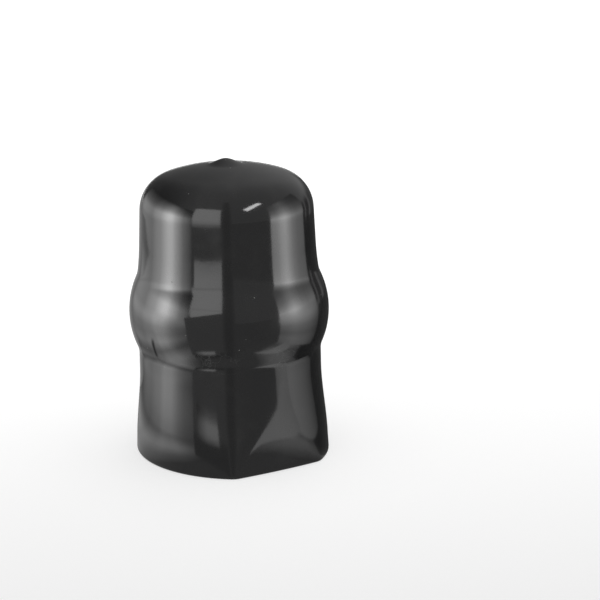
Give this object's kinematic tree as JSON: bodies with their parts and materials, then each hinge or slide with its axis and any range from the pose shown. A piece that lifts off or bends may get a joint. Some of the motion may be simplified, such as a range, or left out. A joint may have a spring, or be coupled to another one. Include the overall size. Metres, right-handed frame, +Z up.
{
  "type": "tow ball cover",
  "caption": "Black glossy vinyl cap with a domed crown, a bulge that snaps over a towing ball, a narrow waist and an open skirt with flatted sides.",
  "frame": {"origin": "centre of the open rim, on the plane that the rim rests on", "axes": "+Z up the cover's axis from the rim to the crown; the two flats of the skirt face -Y and +Y"},
  "size_m": [0.0564, 0.0564, 0.0838],
  "materials": {
    "vinyl": "glossy dip-moulded black vinyl"
  },
  "bodies": {
    "root": {"cover": "vinyl"}
  },
  "joints": []
}
